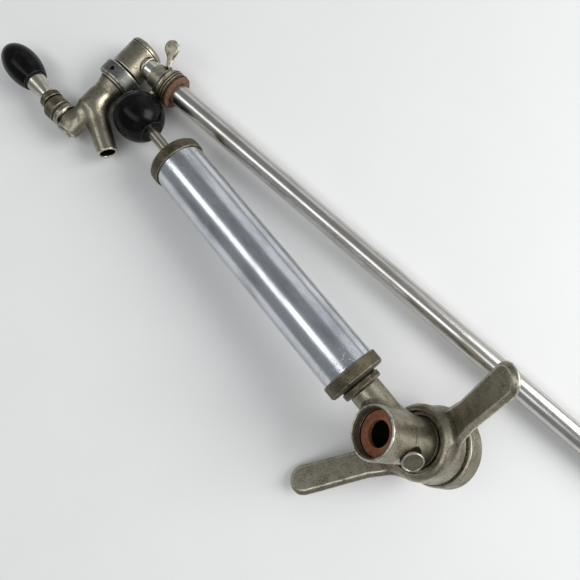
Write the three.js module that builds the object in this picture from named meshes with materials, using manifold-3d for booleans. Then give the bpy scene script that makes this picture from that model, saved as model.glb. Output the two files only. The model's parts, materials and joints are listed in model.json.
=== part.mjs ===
// Keg tapping set lying at rest: a draw rod with its faucet, and a hand pump on a keg coupler.
// Millimetres, +Z up. The rod runs along +X, the pump lies on its -Y side.

import * as THREE from 'three';
import { mergeVertices } from 'three/addons/utils/BufferGeometryUtils.js';
import Module from 'manifold-3d';

const wasm = await Module();
wasm.setup();

const GAP = 0.3; // clearance between pieces that touch
const SIDES = { wide: 26, usual: 20, fine: 14 }; // facets round a turned body

// Draw rod half. Distances along the rod are x, distances along the faucet shank are called out.
const rod = { radius: 9.525, wall: 1.5, start: 2, end: 706, slope: 0.65 };
const foot = { end: 717.5, notchDepth: 6, notchWidth: 5 };
const head = { radius: 15, rear: -11, front: 15.5, dome: 3, neckRadius: 11, flangeRadius: 13.6 };
const headShank = { x: -1.5, neckEnd: 19.5, flangeEnd: 21.8, bore: 6 };
const branch = { radius: 10.9, end: 14 };
const couplingNut = { radius: 17.5, start: 17, web: 19.2, end: 30, threadRadius: 14.5 };
const pinHole = { radius: 1.9, along: 23.8, floor: 15.3, firstAngle: 6, count: 4 };
const gland = { start: 19.5, shoulder: 33.5, end: 43, bodyRadius: 11, threadRadius: 15.9, bore: 9.9 };
const glandThread = { pitch: 2.4, depth: 0.8 };
const glandWing = { reach: 34, tipRadius: 7.2, tipAlong: 20, thickness: 3.4, edge: 0.6, tilt: 25 };
const glandWasher = { start: 43.3, end: 46, radius: 15.4, bore: 9.83 };

// Faucet. "Along" is measured out from the rod axis, "up" from the shank axis towards the lever.
const faucet = {
  tail: 23.9, threadEnd: 31, threadRadius: 14.2, coneRadius: 12.9, coneEnd: 41, shankRadius: 11.3, end: 62,
};
const housing = { radius: 9, lift: 1.5, start: 50, front: 90, chamfer: 2.2 };
const chamber = { radius: 8.8, seat: 45, guideBore: 5.4, guideEnd: 87.3 };
const plug = {
  lift: 3, threadRadius: 5.8, threadStart: 87.6, headStart: 90.3, headEnd: 92.7, headRadius: 6.8,
};
const pivot = { along: 80, up: 15 };
const boss = { radius: 10.9, waist: 8.6, waistTop: 9.6, flare: 11, top: 15.6, bore: 6.6, boreFloor: 2 };
const spout = { rootAlong: 57, tipAlong: 80, tipUp: -39.5, rootRadius: 10.6, tipRadius: 8.6, bore: 6.7 };
const valve = { guideRadius: 5, guideStart: 64, guideEnd: 86.2, stemStart: 38, stemRadius: 2.6 };
const slot = { along: 81.8, length: 6.4, width: 4.8 };
const seatWasher = { radius: 7.2, thickness: 4.4 };
const bonnet = {
  start: 17.9, shoulder: 26.2, top: 28.4, radius: 11, neck: 6.4, coneStart: 20.5, mouth: 8.8, rim: 9.4,
};
const lever = { lean: 8, ballRadius: 6, stemRadius: 3.2, tongue: 12, tongueRadius: 2, top: 34 };
const leverCollar = { inner: 16.9, rim: 14.2, shoulder: 19.8, top: 22.5, radius: 9.6, topRadius: 7 };
const ferrule = { start: 22.8, end: 40, smallRadius: 6.3, largeRadius: 9 };
const egg = { start: 40.3, widest: 59.5, end: 82.5, radius: 15.2, tail: 26.5, seatRadius: 9.6 };

// Pump half, in the frame of the upright coupler: Z is the neck axis, X points under the pump.
const pump = { elevation: 33.4, armRadius: 13, armEnd: 47.1, nippleRadius: 8, nippleEnd: 52.9 };
const neck = {
  top: 38.8, waist: 12, radius: 19.9, waistRadius: 18.4, mouthRadius: 17.3, mouthFloor: 27, bore: 9.9,
};
const core = { discRadius: 19.1, discTop: -10.6, discBottom: -16.2 };
const stem = { radius: 16.8, bottom: -45.5 };
const packing = { start: 27.3, end: 31.2, radius: 16.9, bore: 9.83 };
const airway = { radius: 4, start: 8 };
const capPlug = {
  height: 2.3, rise: 25, turn: 13, radius: 5, start: 17, bossRadius: 7.8, bossEnd: 24.6,
  headRadius: 8.1, end: 26.8,
};
const hub = { top: -9.6, bottom: -34.9, topRadius: 28.3, bottomRadius: 29, recess: 22.8, bore: 17.2 };
const wing = {
  azimuth: 80, rise: 27, rootReach: 22, rootHeight: -21, length: 94, tipRadius: 12.4,
  thickness: 6.4, edge: 1.8, rootWidth: 34, waistAlong: 30, waistWidth: 23.2,
};
const skirt = { top: -35.2, bottom: -50.3, radius: 31, inner: 27, web: -39 };
const lugs = { inner: 22.5, top: -46, bottom: -49.4, notch: 16 };
const locknut = { top: -39.3, bottom: -43.4, radius: 21.5 };
const seal = { top: -45.8, bottom: -48.6, inner: 11.5, outer: 16.4 };

// Pump barrel. Lengths are measured up the barrel axis from the point where it meets the neck axis.
const adaptor = { start: 47.4, end: 53, radius: 16.5 };
const gasket = { start: 53.3, end: 54, radius: 15.2 };
const bottomCollar = { start: 54.3, floor: 57.5, end: 65.7, radius: 24.2, chamfer: 1.4 };
const barrel = { start: 57.8, end: 291, radius: 22.2, wall: 1.5 };
const topCollar = { start: 284.5, ceiling: 291.3, end: 294.5, radius: 23.7, hole: 7.5 };
const bushing = { start: 289.5, end: 296.3, radius: 7.2, flangeRadius: 8.6 };
const plunger = { start: 66, end: 333, radius: 4.76 };
const cup = { start: 72, end: 82, radius: 20.4, lip: 1.8 };
const pistonNut = { start: 66.5, end: 71.7, radius: 7 };
const knob = { centre: 345.5, base: 326.1, radius: 22, holeDepth: 8, groove: 1.3 };

// How the two halves lie on the table.
const rodRest = { height: 17.52 };
const pumpRest = { x: 377.3, y: -93.6, z: 55.88, yaw: 150.4, pitch: 33.15, roll: -39.03 };

const rad = THREE.MathUtils.degToRad;

function look(color, roughness, metalness) {
  return new THREE.MeshStandardMaterial({ color, roughness, metalness });
}

const nickel = () => look(0x8f8a78, 0.42, 1);
const steel = () => look(0x8b8f90, 0.4, 1);
const polished = () => look(0xc9cac8, 0.15, 1);
const chrome = () => look(0xd8dcdf, 0.1, 1);
const black = () => look(0x141416, 0.35, 0);
const redRubber = () => look(0x8c4a35, 0.8, 0);
const darkRubber = () => look(0x1d1c1b, 0.75, 0);
const brass = () => look(0x8c7448, 0.45, 1);

const group = new THREE.Group();

function addMesh(parent, name, geometry, material) {
  const mesh = new THREE.Mesh(geometry, material);
  mesh.name = name;
  parent.add(mesh);
  return mesh;
}

// A body turned about Z from [radius, height] points that run counter-clockwise.
function turned(points, segments = SIDES.usual) {
  const profile = points.map(([radius, height]) => new THREE.Vector2(radius, height));
  return new THREE.LatheGeometry(profile, segments).rotateX(Math.PI / 2);
}

function disc(radius, low, high, segments = SIDES.usual) {
  return turned([[0, low], [radius, low], [radius, high], [0, high]], segments);
}

function ring(inner, outer, low, high, segments = SIDES.usual) {
  return turned([[inner, low], [outer, low], [outer, high], [inner, high], [inner, low]], segments);
}

// A ring with its two outer edges cut back at 45 degrees.
function chamferedRing(inner, outer, low, high, cut) {
  return turned([
    [inner, low], [outer - cut, low], [outer, low + cut],
    [outer, high - cut], [outer - cut, high], [inner, high], [inner, low],
  ]);
}

function solid(geometry) {
  const bare = geometry.clone();
  bare.deleteAttribute('normal');
  bare.deleteAttribute('uv');
  const merged = mergeVertices(bare);
  const index = merged.index.array;
  return new wasm.Manifold(new wasm.Mesh({
    numProp: 3,
    vertProperties: new Float32Array(merged.attributes.position.array),
    triVerts: new Uint32Array(index),
  }));
}

function geometryOf(manifold) {
  const mesh = manifold.getMesh();
  const geometry = new THREE.BufferGeometry();
  geometry.setAttribute('position', new THREE.BufferAttribute(mesh.vertProperties, 3));
  geometry.setIndex(new THREE.BufferAttribute(mesh.triVerts, 1));
  geometry.computeVertexNormals();
  return geometry;
}

function joined(added, cut = []) {
  let body = solid(added[0]);
  for (const piece of added.slice(1)) body = body.add(solid(piece));
  for (const piece of cut) body = body.subtract(solid(piece));
  return geometryOf(body);
}

// Moves a body turned about Z so that it stands on `from` and points at `to`.
function aimed(geometry, from, to) {
  const direction = to.clone().sub(from).normalize();
  const turn = new THREE.Quaternion().setFromUnitVectors(new THREE.Vector3(0, 0, 1), direction);
  return geometry.applyQuaternion(turn).translate(from.x, from.y, from.z);
}

// ---------------------------------------------------------------- draw rod half

const rodGroup = new THREE.Group();
rodGroup.position.z = rodRest.height;
rodGroup.rotation.y = rad(rod.slope);
group.add(rodGroup);

const alongRod = new THREE.Group();
alongRod.rotation.y = Math.PI / 2;
rodGroup.add(alongRod);

const alongShank = new THREE.Group();
alongShank.position.x = headShank.x;
alongShank.rotation.set(-Math.PI / 2, 0, Math.PI, 'ZYX');
rodGroup.add(alongShank);

function drawRod() {
  const tube = ring(rod.radius - rod.wall, rod.radius, rod.start, rod.end, SIDES.wide);
  addMesh(alongRod, 'draw_rod', tube, polished());
}

function rodFoot() {
  const start = rod.end + GAP;
  const body = ring(rod.radius - rod.wall, rod.radius, start, foot.end);
  const notches = [0, 90].map((turn) => {
    const notch = new THREE.BoxGeometry(foot.notchWidth, 3 * rod.radius, 2 * foot.notchDepth);
    return notch.rotateZ(rad(turn)).translate(0, 0, foot.end);
  });
  addMesh(alongRod, 'rod_foot', joined([body], notches), polished());
}

// The cross head lies along the shank: domed at the rear, necked and flanged for the coupling nut.
function rodHead() {
  const { radius, rear, front, dome, neckRadius, flangeRadius } = head;
  const body = turned([
    [0, rear - dome], [radius * 0.55, rear - dome * 0.8], [radius * 0.86, rear - dome * 0.35],
    [radius, rear + 1],
    [radius, front - 0.8], [radius - 0.8, front], [neckRadius, front], [neckRadius, headShank.neckEnd],
    [flangeRadius, headShank.neckEnd], [flangeRadius, headShank.flangeEnd], [0, headShank.flangeEnd],
  ]);
  const side = disc(branch.radius, 0, branch.end - headShank.x).rotateY(-Math.PI / 2);
  const socket = disc(rod.radius + GAP, rod.start - headShank.x - GAP, branch.end - headShank.x + 1)
    .rotateY(-Math.PI / 2);
  const bore = disc(headShank.bore, 0, headShank.flangeEnd + 1);
  addMesh(alongShank, 'rod_head', joined([body, side], [socket, bore]), nickel());
}

function glandNut() {
  const { start, shoulder, end, bodyRadius, threadRadius, bore } = gland;
  const { pitch, depth } = glandThread;
  const profile = [
    [bore, start], [bodyRadius - 1, start], [bodyRadius, start + 1], [bodyRadius, shoulder - 2],
  ];
  profile.push([threadRadius - 1, shoulder], [threadRadius, shoulder + 1]);
  for (let at = shoulder + 2; at + pitch < end; at += pitch) {
    profile.push([threadRadius, at], [threadRadius - depth, at + pitch / 2]);
  }
  profile.push([threadRadius, end - 0.6], [threadRadius - 0.6, end], [bore, end], [bore, start]);
  const wings = [1, -1].map((side) => glandWingSolid(side));
  const geometry = joined([turned(profile), ...wings], [disc(bore, start - 1, end + 1)]);
  const nut = addMesh(alongRod, 'gland_nut', geometry, nickel());
  nut.rotation.z = rad(glandWing.tilt);
}

// One paddle in the plane through the rod axis: a narrow root that widens into a round tip, swept back.
function glandWingSolid(side) {
  const { reach, tipRadius, tipAlong, thickness, edge } = glandWing;
  const root = gland.bodyRadius - 0.6;
  const shape = new THREE.Shape();
  shape.moveTo(root, gland.shoulder - 2);
  shape.lineTo(root, gland.start + 4);
  shape.lineTo(root + 3, gland.start + 3.9);
  shape.absarc(reach - tipRadius, tipAlong, tipRadius, rad(228), rad(460), false);
  shape.lineTo(root + 5, gland.shoulder - 3.8);
  const blade = new THREE.ExtrudeGeometry(shape, {
    depth: thickness - 2 * edge, bevelThickness: edge, bevelSize: edge, bevelOffset: -edge, bevelSegments: 1,
    curveSegments: 8,
  });
  return blade.translate(0, 0, edge - thickness / 2).rotateX(Math.PI / 2).rotateZ(side * Math.PI / 2);
}

function glandWasherRing() {
  const { start, end, radius, bore } = glandWasher;
  addMesh(alongRod, 'gland_washer', chamferedRing(bore, radius, start, end, 0.5), redRubber());
}

function couplingNutRing() {
  const { radius, start, web, end, threadRadius } = couplingNut;
  const hole = head.neckRadius + GAP;
  const body = turned([
    [hole, start], [radius - 1.2, start], [radius, start + 1.2], [radius, end - 2.2], [radius - 2.2, end],
    [threadRadius, end], [threadRadius, web], [hole, web], [hole, start],
  ]);
  const pins = Array.from({ length: pinHole.count }, (_, step) => {
    const turn = rad(pinHole.firstAngle + step * 360 / pinHole.count);
    const pin = disc(pinHole.radius, pinHole.floor, radius + 1, 8);
    return pin.rotateY(Math.PI / 2).translate(0, 0, pinHole.along).rotateZ(turn);
  });
  addMesh(alongShank, 'coupling_nut', joined([body], pins), steel());
}

function couplingWasher() {
  const start = headShank.flangeEnd + GAP;
  const washer = ring(headShank.bore, head.flangeRadius, start, faucet.tail - GAP);
  addMesh(alongShank, 'coupling_washer', washer, redRubber());
}

// ---------------------------------------------------------------- faucet

function faucetBody() {
  const { tail, threadEnd, threadRadius, coneRadius, coneEnd, shankRadius, end } = faucet;
  const shank = turned([
    [0, tail], [threadRadius, tail], [threadRadius, threadEnd], [coneRadius, threadEnd + 1.5],
    [shankRadius, coneEnd], [shankRadius, end - 8], [housing.radius, end], [0, end],
  ]);
  const { radius, lift, start, front, chamfer } = housing;
  const shaftHousing = turned([
    [0, start], [radius, start], [radius, front - chamfer], [radius - chamfer, front], [0, front],
  ]).translate(lift, 0, 0);
  const pivotBoss = turned([
    [0, 0], [boss.waist, 0], [boss.waist, boss.waistTop], [boss.radius, boss.flare], [boss.radius, boss.top],
    [0, boss.top],
  ]).rotateY(Math.PI / 2).translate(0, 0, pivot.along);
  const root = new THREE.Vector3(0, 0, spout.rootAlong);
  const tip = new THREE.Vector3(spout.tipUp, 0, spout.tipAlong);
  const length = root.distanceTo(tip);
  const pipe = turned([
    [0, 0], [spout.rootRadius, 0], [spout.tipRadius + 0.6, length * 0.75],
    [spout.tipRadius, length], [0, length],
  ]);
  const pipeBore = turned([
    [0, 4], [spout.bore - 1.5, 4], [spout.bore, length * 0.6], [spout.bore, length + 1], [0, length + 1],
  ], SIDES.fine);
  const cuts = [
    disc(chamber.radius, tail - 1, chamber.seat, SIDES.fine),
    disc(chamber.guideBore, tail, chamber.guideEnd, SIDES.fine),
    disc(plug.threadRadius + GAP, chamber.guideEnd - 0.1, front + 1, SIDES.fine).translate(plug.lift, 0, 0),
    disc(boss.bore, boss.boreFloor, boss.top + 1, SIDES.fine).rotateY(Math.PI / 2).translate(0, 0, pivot.along),
    aimed(pipeBore, root, tip),
  ];
  const body = joined([shank, shaftHousing, pivotBoss, aimed(pipe, root, tip)], cuts);
  addMesh(alongShank, 'faucet_body', body, nickel());
}

function faucetFrontPlug() {
  const { lift, threadRadius, threadStart, headStart, headEnd, headRadius } = plug;
  const mesh = addMesh(alongShank, 'faucet_front_plug', turned([
    [0, threadStart], [threadRadius, threadStart], [threadRadius, headStart], [headRadius, headStart],
    [headRadius, headEnd - 0.6], [headRadius - 0.6, headEnd], [0, headEnd],
  ]), chrome());
  mesh.position.x = lift;
}

// The valve shaft: a guide with the slot that the lever's tongue sits in, and a thin stem to the seat.
function faucetShaft() {
  const { guideRadius, guideStart, guideEnd, stemStart, stemRadius } = valve;
  const body = turned([
    [0, stemStart], [stemRadius, stemStart], [stemRadius, guideStart - 3], [guideRadius, guideStart],
    [guideRadius, guideEnd], [0, guideEnd],
  ], SIDES.fine);
  const pocket = new THREE.BoxGeometry(2 * guideRadius, slot.width, slot.length);
  pocket.translate(guideRadius, 0, slot.along);
  addMesh(alongShank, 'faucet_shaft', joined([body], [pocket]), brass());
}

function faucetSeatWasher() {
  const end = chamber.seat - GAP;
  const geometry = ring(valve.stemRadius + GAP, seatWasher.radius, end - seatWasher.thickness, end, SIDES.fine);
  addMesh(alongShank, 'faucet_seat_washer', geometry, redRubber());
}

const upLever = new THREE.Group();
upLever.position.set(0, 0, pivot.along);
upLever.rotation.y = Math.PI / 2;
alongShank.add(upLever);

function bonnetSeal() {
  const seal = ring(boss.bore, boss.radius - 0.3, boss.top + GAP, bonnet.start - GAP);
  addMesh(upLever, 'bonnet_seal', seal, darkRubber());
}

// The bonnet nut traps the ball and opens upwards as a cone. Its top stays inside a sphere about the pivot.
function faucetBonnet() {
  const { start, shoulder, top, radius, neck: bore, coneStart, mouth, rim } = bonnet;
  addMesh(upLever, 'faucet_bonnet', turned([
    [bore, start], [radius - 0.6, start], [radius, start + 0.6], [radius, shoulder], [rim, top],
    [mouth, top], [bore, coneStart], [bore, start],
  ]), nickel());
}

const leverGroup = new THREE.Group();
leverGroup.position.set(0, 0, pivot.up);
leverGroup.rotation.y = rad(lever.lean);
upLever.add(leverGroup);

function onCircle(radius, centre, degrees) {
  return [radius * Math.cos(rad(degrees)), centre + radius * Math.sin(rad(degrees))];
}

function arcPoints(radius, centre, from, to, steps) {
  const angles = Array.from({ length: steps + 1 }, (_, step) => from + (to - from) * step / steps);
  return angles.map((angle) => onCircle(radius, centre, angle));
}

function leverStem() {
  const { ballRadius, stemRadius, tongue, tongueRadius, top } = lever;
  addMesh(leverGroup, 'lever_stem', turned([
    [0, -tongue - tongueRadius * 0.2], [tongueRadius, -tongue + tongueRadius],
    [tongueRadius, -ballRadius + 0.4],
    ...arcPoints(ballRadius, 0, -68, 56, 4),
    [stemRadius, ballRadius], [stemRadius, top], [0, top],
  ], SIDES.fine), nickel());
}

// The collar's underside stays outside a sphere about the pivot, so that it clears the bonnet as it swings.
function leverCollarRing() {
  const { inner, rim, shoulder, top, radius, topRadius } = leverCollar;
  const bore = lever.stemRadius + GAP;
  const middle = (bore + radius) / 2;
  addMesh(leverGroup, 'lever_collar', turned([
    [bore, inner], [middle, (inner * 2 + rim) / 3 + 0.3], [radius, rim], [radius, shoulder], [topRadius, top],
    [bore, top], [bore, inner],
  ]), nickel());
}

function leverFerrule() {
  const { start, end, smallRadius, largeRadius } = ferrule;
  const bore = lever.stemRadius + GAP;
  addMesh(leverGroup, 'lever_ferrule', turned([
    [bore, start], [smallRadius, start], [smallRadius + 0.3, start + 4], [largeRadius, end - 1.5],
    [largeRadius, end], [bore, end], [bore, start],
  ]), nickel());
}

// An egg made of two half ellipses: blunt at the free end, drawn in to the ferrule's size at the other.
function leverKnob() {
  const { start, widest, end, radius, tail, seatRadius } = egg;
  const steps = 11;
  const shape = [[0, start], [seatRadius, start]];
  for (let step = 0; step <= steps; step += 1) {
    const along = start + 0.8 + (end - start - 0.8) * Math.sin(step / steps * Math.PI / 2);
    const reach = along < widest ? tail : end - widest;
    const share = Math.max(0, 1 - ((along - widest) / reach) ** 2);
    shape.push([radius * Math.sqrt(share), along]);
  }
  addMesh(leverGroup, 'lever_knob', turned(shape), black());
}

// ---------------------------------------------------------------- pump half

const pumpGroup = new THREE.Group();
pumpGroup.position.set(pumpRest.x, pumpRest.y, pumpRest.z);
pumpGroup.rotation.set(rad(pumpRest.roll), rad(pumpRest.pitch), rad(pumpRest.yaw), 'ZYX');
group.add(pumpGroup);

const alongBarrel = new THREE.Group();
alongBarrel.rotation.y = Math.PI / 2 - rad(pump.elevation);
pumpGroup.add(alongBarrel);

function leaned(geometry) {
  return geometry.rotateY(Math.PI / 2 - rad(pump.elevation));
}

// Where the plug screws into the side of the casting, opposite the arm.
function plugSide(geometry) {
  const raised = geometry.rotateY(-Math.PI / 2 + rad(capPlug.rise));
  return raised.rotateZ(rad(capPlug.turn)).translate(0, 0, capPlug.height);
}

// One casting: threaded neck, arm to the pump, base disc and the stem inside the locking ring.
function couplerBody() {
  const trunk = turned([
    [0, stem.bottom], [stem.radius, stem.bottom], [stem.radius, core.discBottom],
    [core.discRadius, core.discBottom], [core.discRadius, core.discTop], [neck.waistRadius, core.discTop + 1],
    [neck.waistRadius, neck.waist], [neck.radius, neck.top - 4], [neck.radius, neck.top - 0.8],
    [neck.radius - 0.8, neck.top], [0, neck.top],
  ], SIDES.wide);
  const arm = leaned(turned([
    [0, 0], [pump.armRadius, 0], [pump.armRadius, pump.armEnd], [pump.nippleRadius, pump.armEnd],
    [pump.nippleRadius, pump.nippleEnd], [0, pump.nippleEnd],
  ]));
  const plugBoss = plugSide(disc(capPlug.bossRadius, 0, capPlug.bossEnd));
  const cuts = [
    leaned(disc(airway.radius, airway.start, pump.nippleEnd + 1, SIDES.fine)),
    disc(neck.mouthRadius, neck.mouthFloor, neck.top + 1),
    disc(neck.bore, stem.bottom - 1, neck.top),
    plugSide(disc(capPlug.radius + GAP, capPlug.start - GAP, capPlug.bossEnd + 2, SIDES.fine)),
  ];
  addMesh(pumpGroup, 'coupler_body', joined([trunk, arm, plugBoss], cuts), nickel());
}

function neckWasher() {
  const { start, end, radius, bore } = packing;
  addMesh(pumpGroup, 'neck_washer', chamferedRing(bore, radius, start, end, 0.4), redRubber());
}

function reliefPlug() {
  const { start, bossEnd, end, headRadius, radius } = capPlug;
  addMesh(pumpGroup, 'relief_plug', plugSide(turned([
    [0, start], [radius, start], [radius, bossEnd + GAP], [headRadius, bossEnd + GAP],
    [headRadius, end - 0.7], [headRadius - 0.7, end], [0, end],
  ])), nickel());
}

// A paddle that widens into the hub, tilted up towards the neck.
function wingSolid(azimuth) {
  const { rise, rootReach, rootHeight, length, tipRadius, thickness, edge } = wing;
  const root = wing.rootWidth / 2;
  const waist = wing.waistWidth / 2;
  const bend = 0.6 * wing.waistAlong;
  const shape = new THREE.Shape();
  shape.moveTo(0, -root);
  shape.quadraticCurveTo(bend, -waist - 1.4, wing.waistAlong, -waist);
  shape.lineTo(length - tipRadius, -tipRadius);
  shape.absarc(length - tipRadius, 0, tipRadius, rad(-90), rad(90), false);
  shape.lineTo(wing.waistAlong, waist);
  shape.quadraticCurveTo(bend, waist + 1.4, 0, root);
  const blade = new THREE.ExtrudeGeometry(shape, {
    depth: thickness - 2 * edge, bevelThickness: edge, bevelSize: edge, bevelOffset: -edge, bevelSegments: 1,
    curveSegments: 8,
  });
  blade.translate(0, 0, edge - thickness / 2).rotateY(-rad(rise)).translate(rootReach, 0, rootHeight);
  return blade.rotateZ(rad(azimuth));
}

function wingRing() {
  const { top, bottom, topRadius, bottomRadius, recess, bore } = hub;
  const seat = core.discRadius + 0.5;
  const body = turned([
    [0, bottom], [bottomRadius, bottom], [bottomRadius, bottom + 3], [topRadius + 0.6, top - 7],
    [topRadius, top - 1], [topRadius - 1.4, top], [0, top],
  ], SIDES.wide);
  const open = turned([
    [0, bottom - 1], [bore, bottom - 1], [bore, core.discBottom - GAP], [seat, core.discBottom - GAP],
    [seat, top - 4.2], [recess, top - 3.4], [recess, top + 1], [0, top + 1],
  ]);
  const wings = [wing.azimuth, wing.azimuth + 180].map(wingSolid);
  addMesh(pumpGroup, 'wing_ring', joined([body, ...wings], [open]), nickel());
}

function lockSkirt() {
  const { top, bottom, radius, inner, web } = skirt;
  addMesh(pumpGroup, 'lock_skirt', turned([
    [hub.bore, web], [inner, web], [inner, bottom], [radius - 0.6, bottom], [radius, bottom + 0.6],
    [radius, top - 0.8], [radius - 0.8, top], [hub.bore, top], [hub.bore, web],
  ], SIDES.wide), nickel());
}

function skirtLugs() {
  const body = ring(lugs.inner, skirt.inner - GAP, lugs.bottom, lugs.top);
  const notch = new THREE.BoxGeometry(lugs.notch, 3 * skirt.radius, 12).translate(0, 0, lugs.top);
  const sides = solid(body).subtract(solid(notch)).decompose();
  sides.forEach((side, place) => addMesh(pumpGroup, `skirt_lug_${place + 1}`, geometryOf(side), nickel()));
}

function stemLocknut() {
  const geometry = chamferedRing(stem.radius + GAP, locknut.radius, locknut.bottom, locknut.top, 0.6);
  addMesh(pumpGroup, 'stem_locknut', geometry, nickel());
}

function kegSeal() {
  const geometry = chamferedRing(seal.inner, seal.outer, seal.bottom, seal.top, 0.5);
  addMesh(pumpGroup, 'keg_seal', geometry, darkRubber());
}

// ---------------------------------------------------------------- pump barrel

function adaptorRing() {
  const { start, end, radius } = adaptor;
  const geometry = chamferedRing(pump.nippleRadius + GAP, radius, start, end, 0.8);
  addMesh(alongBarrel, 'adaptor_ring', geometry, nickel());
}

function adaptorGasket() {
  const { start, end, radius } = gasket;
  const geometry = ring(pump.nippleRadius, radius, start, end, SIDES.fine);
  addMesh(alongBarrel, 'adaptor_gasket', geometry, darkRubber());
}

function bottomCollarCap() {
  const { start, floor, end, radius, chamfer } = bottomCollar;
  const inner = barrel.radius + GAP;
  addMesh(alongBarrel, 'bottom_collar', turned([
    [4, start], [radius - chamfer, start], [radius, start + chamfer], [radius, end - chamfer / 2],
    [radius - chamfer / 2, end], [inner, end], [inner, floor], [4, floor], [4, start],
  ], SIDES.wide), nickel());
}

function pumpBarrel() {
  const { start, end, radius, wall } = barrel;
  const tube = ring(radius - wall, radius, start, end, SIDES.wide);
  addMesh(alongBarrel, 'pump_barrel', tube, chrome());
}

function topCollarCap() {
  const { start, ceiling, end, radius, hole } = topCollar;
  const inner = barrel.radius + GAP;
  addMesh(alongBarrel, 'top_collar', turned([
    [inner, start], [radius, start], [radius + 0.3, start + 3], [radius, end - 2], [radius - 1.8, end],
    [hole, end], [hole, ceiling], [inner, ceiling], [inner, start],
  ], SIDES.wide), nickel());
}

function plungerBushing() {
  const { start, end, radius, flangeRadius } = bushing;
  const bore = plunger.radius + GAP;
  const flange = topCollar.end + GAP;
  addMesh(alongBarrel, 'plunger_bushing', turned([
    [bore, start], [radius, start], [radius, flange], [flangeRadius, flange], [flangeRadius, end - 0.5],
    [flangeRadius - 0.5, end], [bore, end], [bore, start],
  ], SIDES.fine), brass());
}

function plungerRod() {
  addMesh(alongBarrel, 'plunger_rod', disc(plunger.radius, plunger.start, plunger.end, SIDES.fine), polished());
}

// A cup washer: a floor with a lip that faces the coupler.
function pistonCup() {
  const { start, end, radius, lip } = cup;
  const bore = plunger.radius + GAP;
  addMesh(alongBarrel, 'piston_cup', turned([
    [bore, end - 3], [radius - lip, end - 3], [radius - lip, start], [radius, start], [radius, end],
    [bore, end], [bore, end - 3],
  ]), darkRubber());
}

function pistonNutRing() {
  const { start, end, radius } = pistonNut;
  const bore = disc(plunger.radius + GAP, start - 1, end + 1, SIDES.fine);
  addMesh(alongBarrel, 'piston_nut', joined([disc(radius, start, end, 6)], [bore]), brass());
}

// A ball with a flat underside, and three fine grooves round its outer half.
function pumpKnob() {
  const { centre, base, radius, holeDepth, groove } = knob;
  const bore = plunger.radius + GAP;
  const grooves = [22, 33, 44];
  const halfWidth = 2.4;
  const outline = [[0, base + holeDepth], [bore, base + holeDepth], [bore, base]];
  outline.push(...arcPoints(radius, centre, -61.8, 14, 6));
  for (const angle of grooves) {
    outline.push(onCircle(radius, centre, angle - halfWidth));
    outline.push(onCircle(radius - groove, centre, angle));
    outline.push(onCircle(radius, centre, angle + halfWidth));
  }
  outline.push(...arcPoints(radius, centre, 54, 80, 2), [0, centre + radius]);
  addMesh(alongBarrel, 'pump_knob', turned(outline, SIDES.wide), black());
}

drawRod();
rodFoot();
rodHead();
glandNut();
glandWasherRing();
couplingNutRing();
couplingWasher();
faucetBody();
faucetFrontPlug();
faucetShaft();
faucetSeatWasher();
bonnetSeal();
faucetBonnet();
leverStem();
leverCollarRing();
leverFerrule();
leverKnob();
couplerBody();
neckWasher();
reliefPlug();
wingRing();
lockSkirt();
skirtLugs();
stemLocknut();
kegSeal();
adaptorRing();
adaptorGasket();
bottomCollarCap();
pumpBarrel();
topCollarCap();
plungerBushing();
plungerRod();
pistonCup();
pistonNutRing();
pumpKnob();

// The origin is the middle of the footprint, at the height of the surface that the set lies on.
const extent = new THREE.Box3().setFromObject(group, true);
const middle = extent.getCenter(new THREE.Vector3());
group.position.set(-middle.x, -middle.y, -extent.min.z);

export default group;
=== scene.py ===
"""The looks of a keg tapping set: a draw rod with its lever faucet, and a hand pump on a winged coupler.

Every piece is shaped in millimetres in a frame of its own, with Z along its axis. The frames come from
the joints in the record, so that the pieces lie where the CAD parts lie.
"""

import json
from math import atan2, cos, hypot, pi, radians, sin, tan
from types import SimpleNamespace

import bmesh
import bpy
import numpy as np
from mathutils import Euler, Matrix, Vector


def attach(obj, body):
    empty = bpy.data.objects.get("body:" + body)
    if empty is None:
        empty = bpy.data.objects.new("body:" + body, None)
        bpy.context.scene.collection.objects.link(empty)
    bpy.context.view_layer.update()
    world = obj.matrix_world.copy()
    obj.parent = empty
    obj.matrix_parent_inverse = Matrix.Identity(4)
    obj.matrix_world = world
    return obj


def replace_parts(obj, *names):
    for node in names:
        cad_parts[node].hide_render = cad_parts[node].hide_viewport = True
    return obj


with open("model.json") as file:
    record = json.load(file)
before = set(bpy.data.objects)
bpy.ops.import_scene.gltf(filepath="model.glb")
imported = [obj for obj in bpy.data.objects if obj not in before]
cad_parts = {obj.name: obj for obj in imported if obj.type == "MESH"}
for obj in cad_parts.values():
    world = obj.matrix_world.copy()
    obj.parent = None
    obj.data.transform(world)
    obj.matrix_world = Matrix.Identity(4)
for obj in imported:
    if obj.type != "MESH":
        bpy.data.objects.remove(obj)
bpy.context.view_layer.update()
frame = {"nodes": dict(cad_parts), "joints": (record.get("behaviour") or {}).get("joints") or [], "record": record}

MM = 0.001
AROUND = 96  # facets round a turned piece
FLAT_TURN = radians(14)  # outline corners that turn less than this stay as they are
FADE = 0.5  # how far from a corner its mark reaches, in mm: wear on an outer corner, painted shade in an inner one
CORNER_SHARE = 0.42  # of the shorter side next to it that a rounded corner may take up
THREAD_STEPS = 6  # outline points to each turn of a thread
SMOOTHINGS = 2  # times that a cast surface is evened and drawn back to its field
SHADE_MARGIN = 0.4  # how far out of a recess its painted shade reaches, in mm
CUT_EDGE = 0.1  # the edge rounding of a body that only cuts

record = frame["record"]
joints = {joint["name"]: joint for joint in frame["joints"]}
bodies = record["behaviour"]["bodies"]
body_of_node = {node: body for body, nodes in bodies.items() for node in nodes}


# ---------------------------------------------------------------- frames


def joint_axis(name):
    return Vector(joints[name]["axis"]).normalized()


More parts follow.
